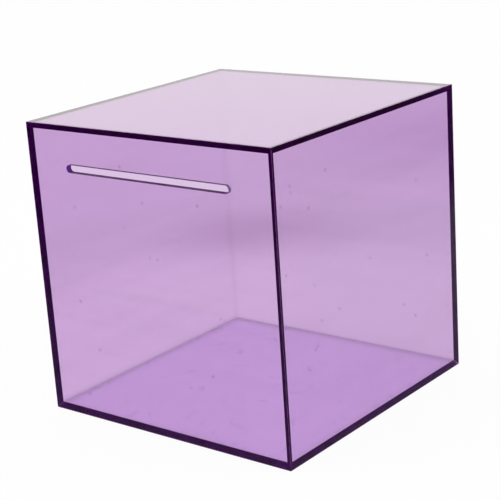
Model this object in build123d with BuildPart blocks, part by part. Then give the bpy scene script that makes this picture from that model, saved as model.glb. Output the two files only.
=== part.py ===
from build123d import *
from math import sqrt
import os

# A free-standing donation box: a cube of tinted acrylic sheet, mitred along
# all twelve edges. The base and the four walls are cemented to each other,
# and the lid lies loose in the bevelled rim of the walls. Gifts go in through
# a slot with round ends, cut high in the front wall.
#
# Millimetres. +Z is up, the slotted wall faces -Y, and the origin is the
# middle of the underside.

# ---- Driving dimensions ---------------------------------------------------

width = 304.8  # outside, left to right: 12 in
depth = 304.8  # outside, front to back: 12 in
height = 304.8  # outside, from the underside to the top of the lid: 12 in
thickness = 6.35  # of all six sheets: 1/4 in
edge_break = 0.2  # strip of each outer face that the polished edges take off

slot_length = 203.2  # over the round ends: 8 in
slot_height = 7.9375  # between the straight edges: 5/16 in
slot_drop = 42.8625  # top of the box to the slot's middle: 1 11/16 in

lid_clearance = 0.2  # sideways, between the lid's bevels and the walls' bevels

# ---- Worked out from them -------------------------------------------------

mitre_angle = 45  # two sheets of one thickness meet at a square corner
edge_break_on_mitre = edge_break / sqrt(2)  # squares the flat to the mitre

# The outer faces of the box. Each normal points into the box, the way a sheet
# narrows along its mitres.
front_face = Plane(origin=(0, -depth / 2, height / 2), x_dir=(1, 0, 0), z_dir=(0, 1, 0))
back_face = Plane(origin=(0, depth / 2, height / 2), x_dir=(1, 0, 0), z_dir=(0, -1, 0))
left_face = Plane(origin=(-width / 2, 0, height / 2), x_dir=(0, 1, 0), z_dir=(1, 0, 0))
right_face = Plane(origin=(width / 2, 0, height / 2), x_dir=(0, 1, 0), z_dir=(-1, 0, 0))
under_face = Plane(origin=(0, 0, 0), x_dir=(1, 0, 0), z_dir=(0, 0, 1))
top_face = Plane(origin=(0, 0, height), x_dir=(1, 0, 0), z_dir=(0, 0, -1))


class MitredSheet(BasePartObject):
    """A sheet with its outer face on XY, bevelled along its four edges.

    across and up are the sizes of the outer face before its sharp edges are
    broken. The sheet reaches up Z by its thickness and narrows by as much on
    each side.
    """

    def __init__(self, across, up, rotation=(0, 0, 0), align=None, mode=Mode.ADD):
        with BuildPart() as sheet:
            with BuildSketch():
                Rectangle(across, up)
            extrude(amount=thickness, taper=mitre_angle)
            outside = sheet.faces().sort_by(Axis.Z)[0]
            chamfer(outside.edges(), edge_break, edge_break_on_mitre, reference=outside)
        super().__init__(part=sheet.part, rotation=rotation, align=align, mode=mode)


# ---- Base and walls, cemented together ------------------------------------

# The base is the box's floor and lies flat on whatever it stands on.
with BuildPart(under_face) as base_panel:
    MitredSheet(width, depth)
base_panel.part.label = "base_panel"

# The front wall has the slot, routed square through the sheet.
with BuildPart(front_face) as front_panel:
    MitredSheet(width, height)
    with BuildSketch(Plane(origin=(0, -depth / 2, height - slot_drop), x_dir=(1, 0, 0), z_dir=(0, 1, 0))):
        SlotOverall(slot_length, slot_height)
    extrude(amount=thickness, mode=Mode.SUBTRACT)
front_panel.part.label = "front_panel"

with BuildPart(back_face) as back_panel:
    MitredSheet(width, height)
back_panel.part.label = "back_panel"

with BuildPart(left_face) as left_panel:
    MitredSheet(depth, height)
left_panel.part.label = "left_panel"

with BuildPart(right_face) as right_panel:
    MitredSheet(depth, height)
right_panel.part.label = "right_panel"

# ---- Lid, lifted off to empty the box -------------------------------------

# Its bevels drop into the walls' bevels, which centre it flush with the rim.
with BuildPart(top_face) as lid:
    MitredSheet(width - 2 * lid_clearance, depth - 2 * lid_clearance)
lid.part.label = "lid"

# ---- One STEP file for each sheet -----------------------------------------

os.makedirs("parts", exist_ok=True)
for sheet in (base_panel, front_panel, back_panel, left_panel, right_panel, lid):
    export_step(sheet.part, f"parts/{sheet.part.label}.step")
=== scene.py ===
import math
import bmesh
import bpy
from mathutils import Matrix, Vector


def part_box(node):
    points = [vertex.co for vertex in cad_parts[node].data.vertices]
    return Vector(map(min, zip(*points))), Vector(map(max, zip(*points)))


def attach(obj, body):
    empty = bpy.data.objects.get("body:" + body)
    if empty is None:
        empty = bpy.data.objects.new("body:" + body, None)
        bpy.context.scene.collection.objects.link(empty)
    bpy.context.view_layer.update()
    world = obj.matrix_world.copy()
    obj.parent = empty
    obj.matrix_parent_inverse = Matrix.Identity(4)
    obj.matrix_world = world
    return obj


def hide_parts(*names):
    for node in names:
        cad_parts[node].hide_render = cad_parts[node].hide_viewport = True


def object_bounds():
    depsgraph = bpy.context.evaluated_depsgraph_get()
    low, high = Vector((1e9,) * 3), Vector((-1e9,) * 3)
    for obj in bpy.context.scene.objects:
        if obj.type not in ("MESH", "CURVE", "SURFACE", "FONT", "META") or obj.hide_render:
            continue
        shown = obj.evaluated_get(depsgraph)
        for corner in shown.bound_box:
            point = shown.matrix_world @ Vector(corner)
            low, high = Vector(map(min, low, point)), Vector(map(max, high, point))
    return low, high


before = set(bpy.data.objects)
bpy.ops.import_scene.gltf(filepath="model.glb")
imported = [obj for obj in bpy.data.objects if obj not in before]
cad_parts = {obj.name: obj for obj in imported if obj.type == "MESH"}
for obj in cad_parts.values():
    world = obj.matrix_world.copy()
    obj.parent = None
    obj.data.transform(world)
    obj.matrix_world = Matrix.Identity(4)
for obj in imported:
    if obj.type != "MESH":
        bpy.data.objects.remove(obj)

cad_low, cad_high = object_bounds()
scene = bpy.context.scene

# ---- Camera ---------------------------------------------------------------
# A long lens at table height, off the box's right front corner and a little
# above it, aimed at the middle of the box and leaning by a few degrees.

camera_azimuth = math.radians(39.20)
camera_elevation = math.radians(16.77)
camera_lean = math.radians(-3.912)
camera_distance = 1.4667
camera_aim = Vector((-0.0015, -0.0014, 0.1504))
lens_length = 102.2
film_width = 36

lens = bpy.data.cameras.new("camera")
lens.lens = lens_length
lens.sensor_width = film_width
camera_back = Vector((
    math.sin(camera_azimuth) * math.cos(camera_elevation),
    -math.cos(camera_azimuth) * math.cos(camera_elevation),
    math.sin(camera_elevation),
))
camera = bpy.data.objects.new("camera", lens)
camera.matrix_world = (
    Matrix.Translation(camera_aim + camera_back * camera_distance)
    @ camera_back.to_track_quat("Z", "Y").to_matrix().to_4x4()
    @ Matrix.Rotation(camera_lean, 4, "Z")
)
scene.collection.objects.link(camera)
scene.camera = camera

# ---- Base -----------------------------------------------------------------
# The floor of the box: a square of cast acrylic, dyed violet right through,
# with its four edges sawn to 45 degrees. The walls are cemented to its bevels.

box_size = cad_high - cad_low
box_middle = (cad_low + cad_high) / 2
base_low, base_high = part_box("base_panel")
sheet_thickness = base_high.z - base_low.z
mitre_angle = math.radians(45)
face_order = Vector((1, 0.61, 0.37))
arris_radius = 0.0002
arris_steps = 4
cement_film = 0.00005

refractive_index = 1.49
dye_colour = (0.566, 0.14, 0.683)
dye_density = 66

grime_colour = (0.35, 0.30, 0.38)
grime_roughness = 0.3
speck_grid = 28
speck_radius = 0.0026
speck_core = speck_radius / 3
smear_grid = (4, 4, 45)
smear_detail = 3
smear_threshold = (0.45, 0.70)
scuff_curl = 40
scuff_line = 0.06
scuff_spread = 60
scuff_threshold = (0.66, 0.72)

# The cut faces' cloud is partly a real haze from the saw and the cement, and partly painted light: its
# violet stands for light carried along inside the sheet. On the eased arrises it is also a painted highlight
# along the edges.
cement_cloud_and_painted_light = (0.51, 0.02, 0.76)
cement_cloudiness = 0.13
arris_cloud_and_painted_highlight = (0.50, 0.12, 0.58)
arris_cloudiness = 0.45
patch_grid = 60
patch_detail = 2
patch_threshold = (0.3, 0.7)
patch_unevenness = 0.25


def new_effect(name, takes, gives):
    """A node group with its sockets, and the nodes that stand for them."""
    group = bpy.data.node_groups.new(name, "ShaderNodeTree")
    for socket in takes:
        group.interface.new_socket(socket, in_out="INPUT", socket_type="NodeSocketFloat")
    for socket, kind in gives.items():
        group.interface.new_socket(socket, in_out="OUTPUT", socket_type=kind)
    return group, group.nodes.new("NodeGroupInput"), group.nodes.new("NodeGroupOutput")


def feed(tree, socket, value):
    """Set a socket to a number or a colour, or link it to another node's output."""
    if isinstance(value, bpy.types.NodeSocket):
        tree.links.new(value, socket)
    else:
        socket.default_value = value


def maths(tree, operation, *values):
    """A Math node."""
    node = tree.nodes.new("ShaderNodeMath")
    node.operation = operation
    for socket, value in zip(node.inputs, values):
        feed(tree, socket, value)
    return node.outputs[0]


def ramp(tree, value, low, high, at_low, at_high):
    """A Map Range node from low..high to at_low..at_high."""
    node = tree.nodes.new("ShaderNodeMapRange")
    for socket, number in zip(node.inputs, (value, low, high, at_low, at_high)):
        feed(tree, socket, number)
    return node.outputs[0]


def blend(tree, share, colour, other, way="MIX"):
    """A Mix node for two colours."""
    node = tree.nodes.new("ShaderNodeMix")
    node.data_type = "RGBA"
    node.blend_type = way
    sockets = [socket for socket in node.inputs if socket.enabled]
    for socket, value in zip(sockets, (share, colour, other)):
        feed(tree, socket, value)
    return next(socket for socket in node.outputs if socket.enabled)


def noise(tree, place, scale, detail):
    """A Noise Texture node."""
    node = tree.nodes.new("ShaderNodeTexNoise")
    tree.links.new(place, node.inputs["Vector"])
    feed(tree, node.inputs["Scale"], scale)
    feed(tree, node.inputs["Detail"], detail)
    return node.outputs["Fac"]


def build_handling_marks():
    """Dust specks, wiped smears and short scuffs, each with its own strength."""
    gives = {"Tint": "NodeSocketColor", "Roughness": "NodeSocketFloat"}
    group, taken, given = new_effect("handling_marks", ("Specks", "Smears", "Scuffs"), gives)
    place = group.nodes.new("ShaderNodeTexCoord").outputs["Object"]
    dust = group.nodes.new("ShaderNodeTexVoronoi")
    dust.inputs["Scale"].default_value = speck_grid
    group.links.new(place, dust.inputs["Vector"])
    core, rim = speck_grid * speck_core, speck_grid * speck_radius
    specks = ramp(group, dust.outputs["Distance"], core, rim, 1, 0)
    wiped = group.nodes.new("ShaderNodeMapping")
    wiped.inputs["Scale"].default_value = smear_grid
    group.links.new(place, wiped.inputs["Vector"])
    smears = ramp(group, noise(group, wiped.outputs[0], 1, smear_detail), *smear_threshold, 0, 1)
    curl = maths(group, "SUBTRACT", noise(group, place, scuff_curl, 0), 0.5)
    line = ramp(group, maths(group, "ABSOLUTE", curl), 0, scuff_line, 1, 0)
    short = ramp(group, noise(group, place, scuff_spread, 0), *scuff_threshold, 0, 1)
    scuffs = maths(group, "MULTIPLY", line, short)
    marks = 0
    for pattern, strength in ((specks, "Specks"), (smears, "Smears"), (scuffs, "Scuffs")):
        marks = maths(group, "MULTIPLY_ADD", pattern, taken.outputs[strength], marks)
    feed(group, given.inputs["Tint"], blend(group, marks, (1, 1, 1, 1), (*grime_colour, 1)))
    feed(group, given.inputs["Roughness"], maths(group, "MULTIPLY", marks, grime_roughness))
    return group


def build_uneven_patches():
    """The patchiness that the saw, the cutter and the cement leave on a cut face."""
    group, taken, given = new_effect("uneven_patches", ("Grid",), {"Patches": "NodeSocketFloat"})
    place = group.nodes.new("ShaderNodeTexCoord").outputs["Object"]
    patches = noise(group, place, taken.outputs["Grid"], patch_detail)
    feed(group, given.inputs["Patches"], ramp(group, patches, *patch_threshold, 0, 1))
    return group


def place_effect(tree, group, **strengths):
    """One use of an effect in a material, with its own values."""
    node = tree.nodes.new("ShaderNodeGroup")
    node.node_tree = group
    for socket, value in strengths.items():
        node.inputs[socket].default_value = value
    return node.outputs


def make_acrylic(name, marks=None, painted_cloud_colour=None, cloudiness=0, painted_inside_shade=1):
    """Clear glass round the dye, marked by hands or, where it is cut, a little cloudy.
    The cloud's colour is partly painted light and shade, and can be painted darker
    where it is seen from inside the sheet.
    """
    material = bpy.data.materials.new(name)
    material.use_nodes = True
    tree = material.node_tree
    nodes, links = tree.nodes, tree.links
    surface = nodes["Principled BSDF"]
    surface.inputs["Base Color"].default_value = (1, 1, 1, 1)
    surface.inputs["Roughness"].default_value = 0
    surface.inputs["IOR"].default_value = refractive_index
    surface.inputs["Transmission Weight"].default_value = 1
    if marks:
        effect = place_effect(tree, handling_marks, **marks)
        links.new(effect["Tint"], surface.inputs["Base Color"])
        links.new(effect["Roughness"], surface.inputs["Roughness"])
    if cloudiness:
        cloud = nodes.new("ShaderNodeBsdfPrincipled")
        cloud.inputs["Roughness"].default_value = 1
        cloud.inputs["Specular IOR Level"].default_value = 0
        patches = place_effect(tree, uneven_patches, Grid=patch_grid)["Patches"]
        thin, thick = (
            (*[channel * share for channel in painted_cloud_colour], 1)
            for share in (1 - patch_unevenness, 1 + patch_unevenness)
        )
        colour = blend(tree, patches, thin, thick)
        # Painted shade: the cloud is darker where it is seen from inside the sheet.
        if painted_inside_shade < 1:
            inside = nodes.new("ShaderNodeNewGeometry").outputs["Backfacing"]
            colour = blend(tree, inside, colour, (painted_inside_shade,) * 3 + (1,), "MULTIPLY")
        links.new(colour, cloud.inputs["Base Color"])
        clouded = nodes.new("ShaderNodeMixShader")
        clouded.inputs[0].default_value = cloudiness
        links.new(surface.outputs[0], clouded.inputs[1])
        links.new(cloud.outputs[0], clouded.inputs[2])
        surface = clouded
    dye = nodes.new("ShaderNodeVolumeAbsorption")
    dye.inputs["Color"].default_value = (*dye_colour, 1)
    dye.inputs["Density"].default_value = dye_density
    links.new(surface.outputs[0], nodes["Material Output"].inputs["Surface"])
    links.new(dye.outputs[0], nodes["Material Output"].inputs["Volume"])
    return material


handling_marks = build_handling_marks()
uneven_patches = build_uneven_patches()
base_marks = {"Specks": 0.2, "Smears": 0.02, "Scuffs": 0.28}
scuffed_acrylic = make_acrylic("scuffed_base_acrylic", base_marks)
cemented_acrylic = make_acrylic("cemented_acrylic", None, cement_cloud_and_painted_light, cement_cloudiness)
eased_acrylic = make_acrylic("eased_acrylic", None, arris_cloud_and_painted_highlight, arris_cloudiness)

# A sheet's first material is on its two large faces, and these come after it.
cut, eased, loose, routed, routed_end = range(1, 6)


def loop(bm, points):
    """A closed outline on XY."""
    verts = [bm.verts.new((x, y, 0)) for x, y in points]
    for i, vert in enumerate(verts):
        bm.edges.new((verts[i - 1], vert))


def rectangle(bm, across, up):
    """A sheet's outline on XY, round the origin."""
    loop(bm, [(x * across / 2, y * up / 2) for x, y in ((-1, -1), (1, -1), (1, 1), (-1, 1))])


def edge_profile(gap):
    """Depth and inset of a sheet's edge: half of the rounded arris, then the mitre."""
    turns = [mitre_angle * i / arris_steps for i in range(arris_steps + 1)]
    arris = [(arris_radius * (1 - math.cos(a)), arris_radius * (1 - math.sin(a))) for a in turns]
    start = arris[-1][0]
    run = (sheet_thickness - start) / len(arris)
    mitre = [(start + run * (i + 1),) * 2 for i in range(len(arris))]
    return [(depth, inset + gap) for depth, inset in arris + mitre]


def raise_sheet(bm, across, up, gap, rim=None):
    """Grow the outline on XY into a sheet along Z, with bevelled edges and a rimmed slot.

    Extruding leaves the faces in any order, so they are sorted to be the same each time.
    """
    edges = list(bm.edges)
    for layer, (depth, inset) in enumerate(edge_profile(gap)):
        if layer:
            grown = bmesh.ops.extrude_edge_only(bm, edges=edges)["geom"]
            rim_verts = {g for g in grown if isinstance(g, bmesh.types.BMVert)}
            edges = [g for g in grown if isinstance(g, bmesh.types.BMEdge) and rim_verts.issuperset(g.verts)]
            for face in (g for g in grown if isinstance(g, bmesh.types.BMFace)):
                face.material_index = cut if layer > arris_steps else eased
        for vert in {v for e in edges for v in e.verts}:
            if rim and rim(vert, layer):
                continue
            x = math.copysign(across / 2 - inset, vert.co.x)
            y = math.copysign(up / 2 - inset, vert.co.y)
            vert.co = (x, y, depth)
        if layer == 0:
            bmesh.ops.triangle_fill(bm, edges=edges, use_beauty=True)
    bmesh.ops.triangle_fill(bm, edges=edges, use_beauty=True)
    bmesh.ops.recalc_face_normals(bm, faces=bm.faces)
    bm.faces.sort(key=lambda face: face.calc_center_median().dot(face_order))


def add_sheet(bm, node, body, face_middle, inwards, upwards, finishes):
    """Turn a sheet from XY to its side of the box and hand it to the frame."""
    inwards, upwards = Vector(inwards), Vector(upwards)
    turn = Matrix((upwards.cross(inwards), upwards, inwards)).transposed().to_4x4()
    bm.transform(Matrix.Translation(face_middle) @ turn)
    mesh = bpy.data.meshes.new(node + "_sheet")
    bm.to_mesh(mesh)
    bm.free()
    for material in finishes:
        mesh.materials.append(material)
    sheet = bpy.data.objects.new(node + "_sheet", mesh)
    scene.collection.objects.link(sheet)
    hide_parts(node)
    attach(sheet, body)


base = bmesh.new()
rectangle(base, box_size.x, box_size.y)
raise_sheet(base, box_size.x, box_size.y, cement_film)
face_middle = (box_middle.x, box_middle.y, cad_low.z)
base_finishes = (scuffed_acrylic, cemented_acrylic, eased_acrylic)
add_sheet(base, "base_panel", "box", face_middle, (0, 0, 1), (0, 1, 0), base_finishes)

# ---- Front wall -----------------------------------------------------------
# The wall with the slot: the same sheet, with a long round-ended slot routed
# through it and its sharp rims eased. Cemented to the base and side walls,
# with its top mitre left bare for the lid.

wall_marks = {"Specks": 0.45, "Smears": 0.045, "Scuffs": 0}
# The bare mitre's cloud: a real haze, with painted light in its violet.
saw_cloud_and_painted_light = (0.49, 0.03, 0.59)
saw_cloudiness = 0.11
slot_arc_steps = 24
slot_ease = 0.0001
slot_margin = 4 * sheet_thickness
# The routed slot's cloud is a real haze, and its colours are painted: dark plum on the long walls as painted
# shade, bright violet on the round ends as painted light, darker still from inside the sheet as painted
# shade.
slot_cloud_and_painted_shade = (0.15, 0.045, 0.19)
slot_end_cloud_and_painted_light = (0.24, 0.055, 0.52)
slot_cloudiness = 0.75
slot_painted_inside_shade = 0.6

polished_acrylic = make_acrylic("polished_acrylic", wall_marks)
mitred_acrylic = make_acrylic("mitred_acrylic", None, saw_cloud_and_painted_light, saw_cloudiness)
wall_finishes = [polished_acrylic, cemented_acrylic, eased_acrylic, mitred_acrylic]
slot_finishes = [
    make_acrylic(name, None, colour, slot_cloudiness, slot_painted_inside_shade)
    for name, colour in (("routed_acrylic", slot_cloud_and_painted_shade), ("routed_end_acrylic", slot_end_cloud_and_painted_light))
]

slot_corners = [
    v.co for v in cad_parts["front_panel"].data.vertices
    if abs(v.co.x) < box_size.x / 2 - slot_margin
    and cad_low.z + slot_margin < v.co.z < cad_high.z - slot_margin
]
slot_top = max(c.z for c in slot_corners)
slot_bottom = min(c.z for c in slot_corners)
slot_radius = (slot_top - slot_bottom) / 2
slot_height = (slot_top + slot_bottom) / 2 - box_middle.z
slot_straight = max(c.x for c in slot_corners) - slot_radius
slot_reach = slot_straight + 2 * slot_radius


def slot_outline(bm):
    """A loop with round ends, each a half turn of the cutter."""
    points = []
    for side in (-1, 1):
        for i in range(slot_arc_steps + 1):
            turn = math.pi * (i / slot_arc_steps - side / 2)
            x = side * slot_straight + slot_radius * math.cos(turn)
            points.append((x, slot_height + slot_radius * math.sin(turn)))
    loop(bm, points)


def slot_rim(vert, layer):
    """Keep the slot straight through the sheet, rounded outwards at both faces."""
    if abs(vert.co.x) > slot_reach:
        return False
    steps = layer if layer <= arris_steps else 2 * arris_steps + 1 - layer
    turn = math.radians(90) * steps / arris_steps
    depth = slot_ease * (1 - math.cos(turn))
    centre = Vector((math.copysign(slot_straight, vert.co.x), slot_height, 0))
    out = (Vector((vert.co.x, vert.co.y, 0)) - centre).normalized()
    vert.co = centre + out * (slot_radius + slot_ease * (1 - math.sin(turn)))
    vert.co.z = depth if layer <= arris_steps else sheet_thickness - depth
    return True


def leave_top_loose(bm):
    """Mark the mitre that the lid rests on, the one that isn't cemented."""
    for face in bm.faces:
        if face.material_index == cut and face.calc_center_median().y > box_size.z / 2 - sheet_thickness:
            face.material_index = loose


front = bmesh.new()
rectangle(front, box_size.x, box_size.z)
slot_outline(front)
raise_sheet(front, box_size.x, box_size.z, cement_film, slot_rim)
leave_top_loose(front)
for face in front.faces:
    if face.material_index and all(abs(v.co.x) < slot_reach for v in face.verts):
        face.smooth = True
        at_end = abs(face.calc_center_median().x) > slot_straight / 2
        face.material_index = routed_end if at_end else routed
face_middle = (box_middle.x, cad_low.y, box_middle.z)
front_finishes = wall_finishes + slot_finishes
add_sheet(front, "front_panel", "box", face_middle, (0, 1, 0), (0, 0, 1), front_finishes)

# ---- Back wall ------------------------------------------------------------
# The same acrylic sheet as the front wall, but without a slot. It is cemented
# to the base and side walls in the same way, and its top mitre is bare too.

back = bmesh.new()
rectangle(back, box_size.x, box_size.z)
raise_sheet(back, box_size.x, box_size.z, cement_film)
leave_top_loose(back)
face_middle = (box_middle.x, cad_high.y, box_middle.z)
add_sheet(back, "back_panel", "box", face_middle, (0, -1, 0), (0, 0, 1), wall_finishes)

# ---- Side walls -----------------------------------------------------------
# Two plain sheets of the same acrylic that close the left and the right. They
# are mitred into the front and back walls at the upright corners and cemented.

for node, side in (("left_panel", -1), ("right_panel", 1)):
    wall = bmesh.new()
    rectangle(wall, box_size.y, box_size.z)
    raise_sheet(wall, box_size.y, box_size.z, cement_film)
    leave_top_loose(wall)
    face_middle = (box_middle.x + side * box_size.x / 2, box_middle.y, box_middle.z)
    add_sheet(wall, node, "box", face_middle, (-side, 0, 0), (0, 0, 1), wall_finishes)

# ---- Lid ------------------------------------------------------------------
# The top sheet, of the same acrylic with a haze of settled dust. It is left
# loose: its bevels drop into the walls' bevels, a hair smaller all round so
# that it lifts out without binding.

lid_low, lid_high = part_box("lid")
lid_clearance = ((base_high.x - base_low.x) - (lid_high.x - lid_low.x)) / 2

lid_marks = {"Specks": 0.3, "Smears": 0.02, "Scuffs": 0}
dust_sheen = 0.36
dust_colour = (1.0, 0.92, 0.85)

lid_acrylic = make_acrylic("dusty_lid_acrylic", lid_marks)
lid_surface = lid_acrylic.node_tree.nodes["Principled BSDF"]
lid_surface.inputs["Sheen Weight"].default_value = dust_sheen
lid_surface.inputs["Sheen Tint"].default_value = (*dust_colour, 1)

lid = bmesh.new()
rectangle(lid, box_size.x, box_size.y)
raise_sheet(lid, box_size.x, box_size.y, lid_clearance)
face_middle = (box_middle.x, box_middle.y, cad_high.z)
lid_finishes = (lid_acrylic, mitred_acrylic, eased_acrylic)
add_sheet(lid, "lid", "lid", face_middle, (0, 0, -1), (0, 1, 0), lid_finishes)

# ---- Floor ----------------------------------------------------------------
# A pale matt floor that reads as white round the box. Light that has come
# through the box sees painted shade on it instead: darker some way off, soft
# painted patches of shade and light, a painted tint across it, a painted violet
# shade under the box and a painted shadow round the footprint's edge. Shiny
# faces see a painted reflection of a dimmer table top.

floor_radius = 6.0
floor_gap = 0.0002
floor_segments = 96
floor_colour = (0.96, 0.96, 0.96)
floor_roughness = 0.9
floor_whiteness = 0.95
# Painted shade: the floor's colour by its distance from the middle, shown only to light that has come
# through the box.
sweep_reach = 1.5
sweep_shading = (
    (0.38, (1.0, 1.0, 1.0)),
    (0.45, (0.98, 0.97, 0.99)),
    (0.58, (0.865, 0.845, 0.885)),
    (0.68, (0.86, 0.84, 0.88)),
    (0.85, (0.90, 0.87, 0.925)),
    (1.3, (0.91, 0.86, 0.93)),
)
# Painted soft patches on the floor, shown only through the box: two of shade and one of light.
painted_floor_patches = (
    ((-0.37, 0.47, 0), 0.19, (0.83, 0.78, 0.83, 1)),
    ((-0.46, 1.12, 0), 0.38, (0.93, 0.87, 0.94, 1)),
    ((-0.26, 0.77, 0), 0.17, (1.08, 1.06, 1.09, 1)),
)
# A painted tint across the floor, shown only through the box: pinker on one side, greener towards_light.
towards_light = (1, 1, 0)
cool_side = (-0.15, (1.0, 0.975, 1.0, 1))
warm_side = (0.30, (0.98, 0.99, 0.98, 1))
# Painted violet shade under the box, for the violet light that falls through it.
painted_violet_shade_under_box = (0.885, 0.80, 1.0, 1)
painted_violet_shade_fade = 0.012
# A painted shadow along the edge of the box's footprint, shown only through the box.
rim_shadow = 0.74
rim_shadow_width = 0.018
# A painted reflection for shiny faces: a dim glow, brighter towards_light, that fades past table_reach.
dim_side = -1.2
bright_side = 0.8
dim_painted_reflection = 0.03
bright_painted_reflection = 0.27
table_reach = 0.77
table_fade = 0.27
past_table = 0.1

floor_material = bpy.data.materials.new("pale_floor")
floor_material.use_nodes = True
tree = floor_material.node_tree
nodes, links = tree.nodes, tree.links
plain = nodes["Principled BSDF"]
plain.inputs["Base Color"].default_value = (*floor_colour, 1)
plain.inputs["Roughness"].default_value = floor_roughness
plain.inputs["Specular IOR Level"].default_value = 0
ray = nodes.new("ShaderNodeLightPath").outputs
place = nodes.new("ShaderNodeTexCoord").outputs["Object"]


def vector_maths(operation, other=None):
    """A Vector Math node on the floor's own coordinates."""
    node = nodes.new("ShaderNodeVectorMath")
    node.operation = operation
    links.new(place, node.inputs[0])
    if other:
        node.inputs[1].default_value = other
    return node.outputs


away = vector_maths("LENGTH")["Value"]
across = vector_maths("DOT_PRODUCT", towards_light)["Value"]

# Painted shade seen only through the box: by distance, then patches, a side tint, violet shade under the box
# and a rim shadow.
sweep = nodes.new("ShaderNodeValToRGB")
shades = sweep.color_ramp.elements
for distance, colour in sweep_shading:
    shades.new(distance / sweep_reach).color = (*colour, 1)
shades.remove(shades[-1])
shades.remove(shades[0])
links.new(maths(tree, "DIVIDE", away, sweep_reach), sweep.inputs["Fac"])
shade = sweep.outputs["Color"]
for middle, reach, tint in painted_floor_patches:
    patch = ramp(tree, vector_maths("DISTANCE", middle)["Value"], 0, reach, 1, 0)
    patch.node.interpolation_type = "SMOOTHSTEP"
    shade = blend(tree, patch, shade, tint, "MULTIPLY")
# The painted side tint.
lateral = ramp(tree, across, cool_side[0], warm_side[0], 0, 1)
shade = blend(tree, 1, shade, blend(tree, lateral, cool_side[1], warm_side[1]), "MULTIPLY")

footprint = nodes.new("ShaderNodeSeparateXYZ")
links.new(vector_maths("ABSOLUTE")["Vector"], footprint.inputs[0])
square = maths(tree, "MAXIMUM", footprint.outputs["X"], footprint.outputs["Y"])
half = box_size.x / 2
under = ramp(tree, square, half, half + painted_violet_shade_fade, 1, 0)
shade = blend(tree, under, shade, painted_violet_shade_under_box)
# The painted rim shadow.
rim = maths(tree, "ABSOLUTE", maths(tree, "SUBTRACT", square, half))
rim = ramp(tree, rim, 0, rim_shadow_width, rim_shadow, 1)
shade = blend(tree, 1, shade, rim, "MULTIPLY")

# Camera rays see the floor white. Light that has come through the box sees the painted shade.
white = nodes.new("ShaderNodeEmission")
links.new(blend(tree, ray["Is Transmission Ray"], (1, 1, 1, 1), shade), white.inputs["Color"])
seen = maths(tree, "MAXIMUM", ray["Is Camera Ray"], ray["Is Transmission Ray"])
white_mix = nodes.new("ShaderNodeMixShader")
links.new(maths(tree, "MULTIPLY", seen, floor_whiteness), white_mix.inputs[0])
links.new(plain.outputs[0], white_mix.inputs[1])
links.new(white.outputs[0], white_mix.inputs[2])

# Shiny faces see the painted reflection in place of the floor.
slope = ramp(tree, across, dim_side, bright_side, dim_painted_reflection, bright_painted_reflection)
table_edge = ramp(tree, away, table_reach, table_reach + table_fade, 1, past_table)
painted_table_reflection = nodes.new("ShaderNodeEmission")
links.new(maths(tree, "MULTIPLY", slope, table_edge), painted_table_reflection.inputs["Strength"])
mirrored = maths(tree, "SUBTRACT", ray["Is Glossy Ray"], ray["Is Transmission Ray"])
mirrored.node.use_clamp = True
mirror_mix = nodes.new("ShaderNodeMixShader")
links.new(mirrored, mirror_mix.inputs[0])
links.new(white_mix.outputs[0], mirror_mix.inputs[1])
links.new(painted_table_reflection.outputs[0], mirror_mix.inputs[2])
links.new(mirror_mix.outputs[0], nodes["Material Output"].inputs["Surface"])

disc = bmesh.new()
bmesh.ops.create_circle(disc, cap_ends=True, segments=floor_segments, radius=floor_radius)
floor_mesh = bpy.data.meshes.new("floor")
disc.to_mesh(floor_mesh)
disc.free()
floor_mesh.materials.append(floor_material)
floor = bpy.data.objects.new("floor", floor_mesh)
floor.location.z = cad_low.z - floor_gap
scene.collection.objects.link(floor)

# ---- Light ----------------------------------------------------------------
# A white surround, a little dimmer on matt faces, and two large soft lamps:
# one in front and to the left, one behind and to the right.

surround_on_matt = 0.75
lamps = (
    ("key", (-1.2, -1.0, 1.9), 2.4, 14),
    ("fill", (1.6, 0.8, 1.6), 1.8, 8),
)

world = bpy.data.worlds.new("surround")
world.use_nodes = True
scene.world = world
tree = world.node_tree
ray = tree.nodes.new("ShaderNodeLightPath").outputs
background = tree.nodes["Background"]
background.inputs["Color"].default_value = (1, 1, 1, 1)
feed(tree, background.inputs["Strength"], ramp(tree, ray["Is Diffuse Ray"], 0, 1, 1, surround_on_matt))

for name, place, size, power in lamps:
    lamp_data = bpy.data.lights.new(name, "AREA")
    lamp_data.shape = "DISK"
    lamp_data.size = size
    lamp_data.energy = power
    lamp = bpy.data.objects.new(name, lamp_data)
    lamp.location = place
    lamp.rotation_mode = "QUATERNION"
    lamp.rotation_quaternion = (Vector(place) - box_middle).to_track_quat("Z", "Y")
    scene.collection.objects.link(lamp)

# Light crosses many faces, and turns often inside the mitres, before it leaves.
scene.view_settings.view_transform = "Standard"
scene.cycles.max_bounces = 48
scene.cycles.glossy_bounces = 32
scene.cycles.transmission_bounces = 32
scene.cycles.transparent_max_bounces = 16
